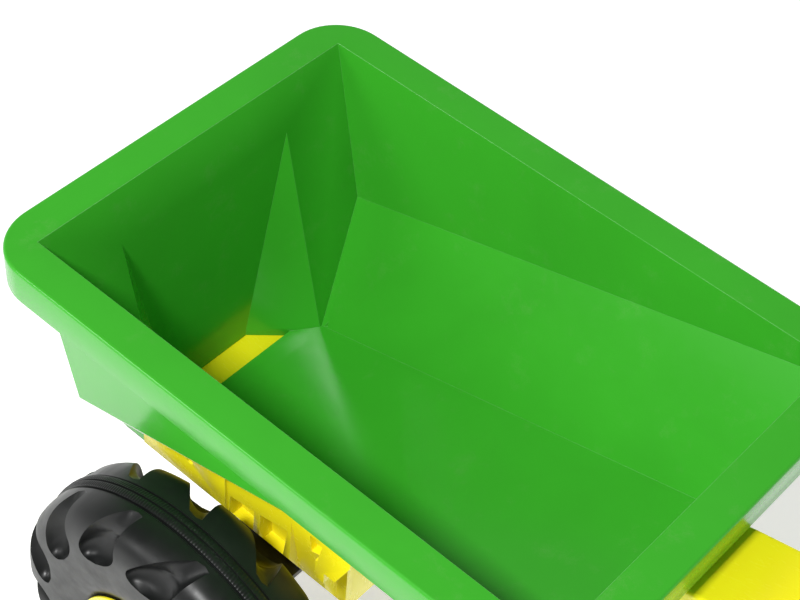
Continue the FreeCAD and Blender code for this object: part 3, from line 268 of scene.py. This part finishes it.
def softened(node_name, width, segments, fold=None, fold_width=None):
    """The moulded form of a CAD node: the same faces, every edge rounded over and its folds more so."""
    source = NODES[node_name].data
    work = bmesh.new()
    work.from_mesh(source)
    bmesh.ops.remove_doubles(work, verts=work.verts, dist=SEAM)
    bmesh.ops.dissolve_limit(work, angle_limit=FLAT, verts=work.verts, edges=work.edges,
                             use_dissolve_boundaries=False)
    widest = fold_width or width
    weights = work.edges.layers.float.new("bevel_weight_edge")
    for edge in work.edges:
        if len(edge.link_faces) == 2 and edge.calc_face_angle(0.0) > CORNER:
            folded = fold is not None and all(fold(vert.co) for vert in edge.verts)
            edge[weights] = 1.0 if folded else width / widest
    mesh = bpy.data.meshes.new(node_name + "_moulded")
    work.to_mesh(mesh)
    work.free()
    for face in mesh.polygons:
        face.use_smooth = True
    thing = finish_piece(node_name, mesh)
    bevel = thing.modifiers.new("rounding", "BEVEL")
    bevel.width = widest
    bevel.segments = segments
    bevel.limit_method = "WEIGHT"
    bevel.harden_normals = True
    slot_name = SLOT_OF[node_name]
    # Rounded edges and folds take the lighter edge plastic: partly wear, partly a painted highlight.
    if slot_name in EDGE_WEAR_AND_HIGHLIGHT:
        thing.data.materials.append(EDGE_WEAR_AND_HIGHLIGHT[slot_name])
        bevel.material = 1
    bevel.use_clamp_overlap = True


# The tyre's own measures are in millimetres.
MM = 0.001
TYRE_SCOOPS = 14
TYRE_RADIUS = 150.0
TYRE_HALF = 41.3
SCOOP_LEAN = math.radians(14.0)
SCOOP_DEPTH = 14.5
SCOOP_HALF_WIDTH = 20.5
SCOOP_LEAST_HALF_WIDTH = 0.25
SCOOP_START_RADIUS = 110.0
SCOOP_LAST_POINT = 3
SCOOP_COLUMNS = 14
LAND_COLUMNS = 10
OUTLINE_STEPS = 5
KNURLS = 360
KNURL_COLUMNS = 4
KNURLED_FROM = 1.5
KNURLED_TO = 5.4
KNURL_DEPTH = 0.45
FIRST_SCOOP = math.radians(4.4)
SHARP_TYRE_EDGE = math.radians(38)
SHARP_EDGE = math.radians(30)


def curve_point(before, start, end, after, t):
    """A Catmull-Rom curve between start and end, for one coordinate."""
    straight = 2 * start + (end - before) * t
    square = (2 * before - 5 * start + 4 * end - after) * t * t
    cube = (3 * start - before - 3 * end + after) * t ** 3
    return 0.5 * (straight + square + cube)


def point_at(centre, angle, aside, radius):
    """A place on a wheel, from its turn round the axle, its distance along it and from it."""
    across = radius * MM * math.sin(angle)
    up = radius * MM * math.cos(angle)
    return centre + Vector((across, aside * MM, up))


def tyre_outline():
    """Half of the tyre's outline from the middle band to the bead, as (y, radius) in millimetres."""
    guide = [(8.2, 148.2), (14.0, 148.0), (20.0, 147.3), (26.0, 145.8), (31.0, 143.2), (35.0, 139.6)]
    guide += [(38.0, 135.0), (40.0, 129.0), (41.0, 122.0), (TYRE_HALF, 113.0), (TYRE_HALF, 103.0)]
    guide += [(41.1, 93.0), (40.4, 85.0), (39.2, 79.0), (37.6, 74.5), (36.8, 70.0), (36.6, 67.2)]
    guide += [(35.0, 66.8), (30.0, 66.8)]
    points = []
    for index in range(len(guide) - 1):
        before = guide[max(index - 1, 0)]
        start = guide[index]
        end = guide[index + 1]
        after = guide[min(index + 2, len(guide) - 1)]
        for step in range(OUTLINE_STEPS):
            t = step / OUTLINE_STEPS
            points.append(tuple(curve_point(*four, t) for four in zip(before, start, end, after)))
    points.append(guide[-1])
    return points


def scoop_form(share):
    """Half width and depth of a scoop at a share of its length, from the sidewall to the band."""
    if share <= 0 or share >= 1:
        return SCOOP_LEAST_HALF_WIDTH, 0.0
    round_end = 0.26
    bowl_end = 0.34
    fade_start = 0.5
    taper = 0.72
    rounded = min(1.0, share / round_end)
    width = SCOOP_HALF_WIDTH * math.sqrt(max(0.0, 1 - (1 - rounded) ** 2))
    width *= 1 - taper * max(0.0, (share - round_end) / (1 - round_end)) ** 1.15
    entry = math.sqrt(1 - (1 - min(1.0, share / bowl_end)) ** 2)
    fade = 1 - max(0.0, (share - fade_start) / (1 - fade_start)) ** 1.6
    return max(width, SCOOP_LEAST_HALF_WIDTH), SCOOP_DEPTH * entry * fade


def tyre_half(work, side, turn, centre):
    outline = tyre_outline()
    lengths = [0.0]
    for before, after in zip(outline, outline[1:]):
        lengths.append(lengths[-1] + math.dist(before, after))
    begin = next(length for length, point in zip(lengths, outline) if point[1] < SCOOP_START_RADIUS)
    pitch = 2 * math.pi / TYRE_SCOOPS
    rings = []
    for index, (aside, radius) in enumerate(outline):
        share = (begin - lengths[index]) / (begin - lengths[SCOOP_LAST_POINT])
        half_width, depth = scoop_form(share)
        before = outline[max(index - 1, 0)]
        after = outline[min(index + 1, len(outline) - 1)]
        along = (after[0] - before[0], after[1] - before[1])
        size = math.hypot(*along)
        inward = (along[1] / size, -along[0] / size)
        ring = []
        half_angle = half_width / radius
        land = pitch - 2 * half_angle
        lean = SCOOP_LEAN * (max(0.0, min(1.0, share)) - 0.5)
        for scoop in range(TYRE_SCOOPS):
            middle = scoop * pitch + turn + lean
            for column in range(SCOOP_COLUMNS):
                across = -math.cos(math.pi * column / SCOOP_COLUMNS)
                sink = depth * math.sqrt(max(0.0, 1 - across * across))
                sunk = (aside + inward[0] * sink, radius + inward[1] * sink)
                ring.append((middle + across * half_angle, *sunk))
            for column in range(LAND_COLUMNS):
                angle = middle + half_angle + column / LAND_COLUMNS * land
                ring.append((angle, aside, radius))
        places = [point_at(centre, turned, side * out, reach) for turned, out, reach in ring]
        rings.append([work.verts.new(place) for place in places])
    bridge(work, rings, side > 0)


def bridge(work, rings, flipped):
    for first, second in zip(rings, rings[1:]):
        count = len(first)
        for index in range(count):
            after = (index + 1) % count
            corners = [first[index], first[after], second[after], second[index]]
            work.faces.new(corners[::-1] if flipped else corners)


def tyre_band(work, centre):
    """The raised middle band: two knurled ridges with a groove between them, and a groove each side."""
    top = TYRE_RADIUS
    half = [(0.6, top - 1.6), (1.0, top - 0.3), (1.7, top), (5.2, top - 0.5), (6.2, top - 1.1)]
    half += [(6.6, top - 3.1), (7.4, top - 3.1), (8.2, top - 1.9), (9.0, top - 3.3)]
    outline = [(-aside, radius) for aside, radius in reversed(half)] + half
    count = KNURL_COLUMNS * KNURLS
    rings = []
    for aside, radius in outline:
        ring = []
        for index in range(count):
            on_ridge = KNURLED_FROM < abs(aside) < KNURLED_TO
            sunk = on_ridge and index % KNURL_COLUMNS < KNURL_COLUMNS // 2
            reach = radius - KNURL_DEPTH if sunk else radius
            ring.append(work.verts.new(point_at(centre, 2 * math.pi * index / count, aside, reach)))
        rings.append(ring)
    bridge(work, rings, True)


def tyre(node_name, hand):
    low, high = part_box(node_name)
    centre = (low + high) / 2
    work = bmesh.new()
    half_pitch = math.pi / TYRE_SCOOPS
    tyre_half(work, hand, FIRST_SCOOP, centre)
    tyre_half(work, -hand, FIRST_SCOOP + half_pitch, centre)
    tyre_band(work, centre)
    bmesh.ops.recalc_face_normals(work, faces=work.faces)
    mesh = bpy.data.meshes.new(node_name + "_moulded")
    work.to_mesh(mesh)
    work.free()
    mesh.polygons.foreach_set("use_smooth", [True] * len(mesh.polygons))
    mesh.set_sharp_from_angle(angle=SHARP_TYRE_EDGE)
    finish_piece(node_name, mesh)


# The flange is 29 mm wide, and this is less by enough to take in the mouth's own edge.
FLANGE = 0.0285
TOP_FACE = 0.0005
HOPPER_LOW, HOPPER_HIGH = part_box("hopper")


def on_hopper_folds(place):
    """The edge round the mouth, where the sheet turns down from the flange."""
    along = HOPPER_LOW.x + FLANGE < place.x < HOPPER_HIGH.x - FLANGE
    across = HOPPER_LOW.y + FLANGE < place.y < HOPPER_HIGH.y - FLANGE
    return along and across and place.z > HOPPER_HIGH.z - TOP_FACE


softened("hopper", width=0.0013, segments=3, fold=on_hopper_folds, fold_width=0.0034)
softened("chassis_frame", width=0.0014, segments=3)
softened("drawbar", width=0.0016, segments=3)
SMALLER_ROUNDINGS = (
    (0.0009, ("wheel_left_hub", "wheel_right_hub", "axle_bracket_left", "axle_bracket_right")),
    (0.0006, ("gate_handle", "gate_guide_left", "gate_guide_right")),
    (0.0006, ("drive_case_tray", "drive_case_cover", "spinner_disc")),
    (0.0004, ("gate_slide", "hitch_bush", "axle_cap_left", "axle_cap_right")),
    (0.0004, ("axle_spacer_left", "axle_spacer_right")),
)
for width, names in SMALLER_ROUNDINGS:
    for name in names:
        softened(name, width, segments=2)
tyre("wheel_left_tyre", 1)
tyre("wheel_right_tyre", -1)

for name, node in NODES.items():
    if not node.hide_render:
        paint(node, SLOT_OF[name])
        node.data.polygons.foreach_set("use_smooth", [True] * len(node.data.polygons))
        node.data.set_sharp_from_angle(angle=SHARP_EDGE)


# ---------------------------------------------------------------- stage, light, camera

def floor():
    graph = Graph("pale_floor")
    cloud = graph.noise(1.5, 3.0)
    graph.colour(graph.mix(cloud, (0.86, 0.86, 0.86, 1), (0.9, 0.9, 0.9, 1)))
    graph.shader.inputs["Roughness"].default_value = 0.6
    graph.shader.inputs["Emission Color"].default_value = (1, 1, 1, 1)
    graph.shader.inputs["Emission Strength"].default_value = 0.5
    bpy.ops.mesh.primitive_plane_add(size=12, location=(0, 0, 0))
    plane = bpy.context.object
    plane.name = "studio_floor"
    plane.data.materials.append(graph.material)


def area_light(name, place, target, size, power):
    data = bpy.data.lights.new(name, "AREA")
    data.shape = "RECTANGLE"
    data.size, data.size_y = size
    data.energy = power
    light = bpy.data.objects.new(name, data)
    light.location = place
    light.rotation_mode = "QUATERNION"
    light.rotation_quaternion = (Vector(target) - Vector(place)).to_track_quat("-Z", "Y")
    bpy.context.scene.collection.objects.link(light)


def studio():
    """Bright all round near the horizon, darker overhead, with a soft key from the near left."""
    world = bpy.data.worlds.new("studio")
    bpy.context.scene.world = world
    world.use_nodes = True
    nodes = world.node_tree.nodes
    links = world.node_tree.links
    place = nodes.new("ShaderNodeTexCoord")
    split = nodes.new("ShaderNodeSeparateXYZ")
    ramp = nodes.new("ShaderNodeValToRGB")
    links.new(place.outputs["Generated"], split.inputs["Vector"])
    links.new(split.outputs["Z"], ramp.inputs["Fac"])
    links.new(ramp.outputs["Color"], nodes["Background"].inputs["Color"])
    ramp.color_ramp.elements[0].position = 0.05
    ramp.color_ramp.elements[0].color = (1, 1, 1, 1)
    ramp.color_ramp.elements[1].position = 0.6
    ramp.color_ramp.elements[1].color = (0.22, 0.22, 0.22, 1)
    nodes["Background"].inputs["Strength"].default_value = 0.75
    area_light("key", place=(0.0, -1.8, 3.0), target=(-0.15, 0, 0.35), size=(0.4, 0.4), power=86)
    area_light("left", place=(-1.7, -2.2, 1.9), target=(-0.1, 0, 0.3), size=(1.0, 1.0), power=20)
    area_light("rear", place=(-0.4, 2.6, 0.9), target=(0, 0, 0.2), size=(1.6, 1.0), power=8)


def camera():
    data = bpy.data.cameras.new("camera")
    data.sensor_width = 36.0
    data.lens = 85.17
    data.clip_start = 0.05
    data.clip_end = 60.0
    item = bpy.data.objects.new("camera", data)
    bpy.context.scene.collection.objects.link(item)
    item.location = (0.33163, -0.69336, 1.38003)
    item.rotation_mode = "QUATERNION"
    item.rotation_quaternion = Quaternion((0.867079, 0.346315, 0.099667, 0.343958))
    bpy.context.scene.camera = item


floor()
studio()
camera()
bpy.context.scene.view_settings.view_transform = "Standard"
bpy.context.scene.view_settings.look = "None"

bpy.context.view_layer.update()
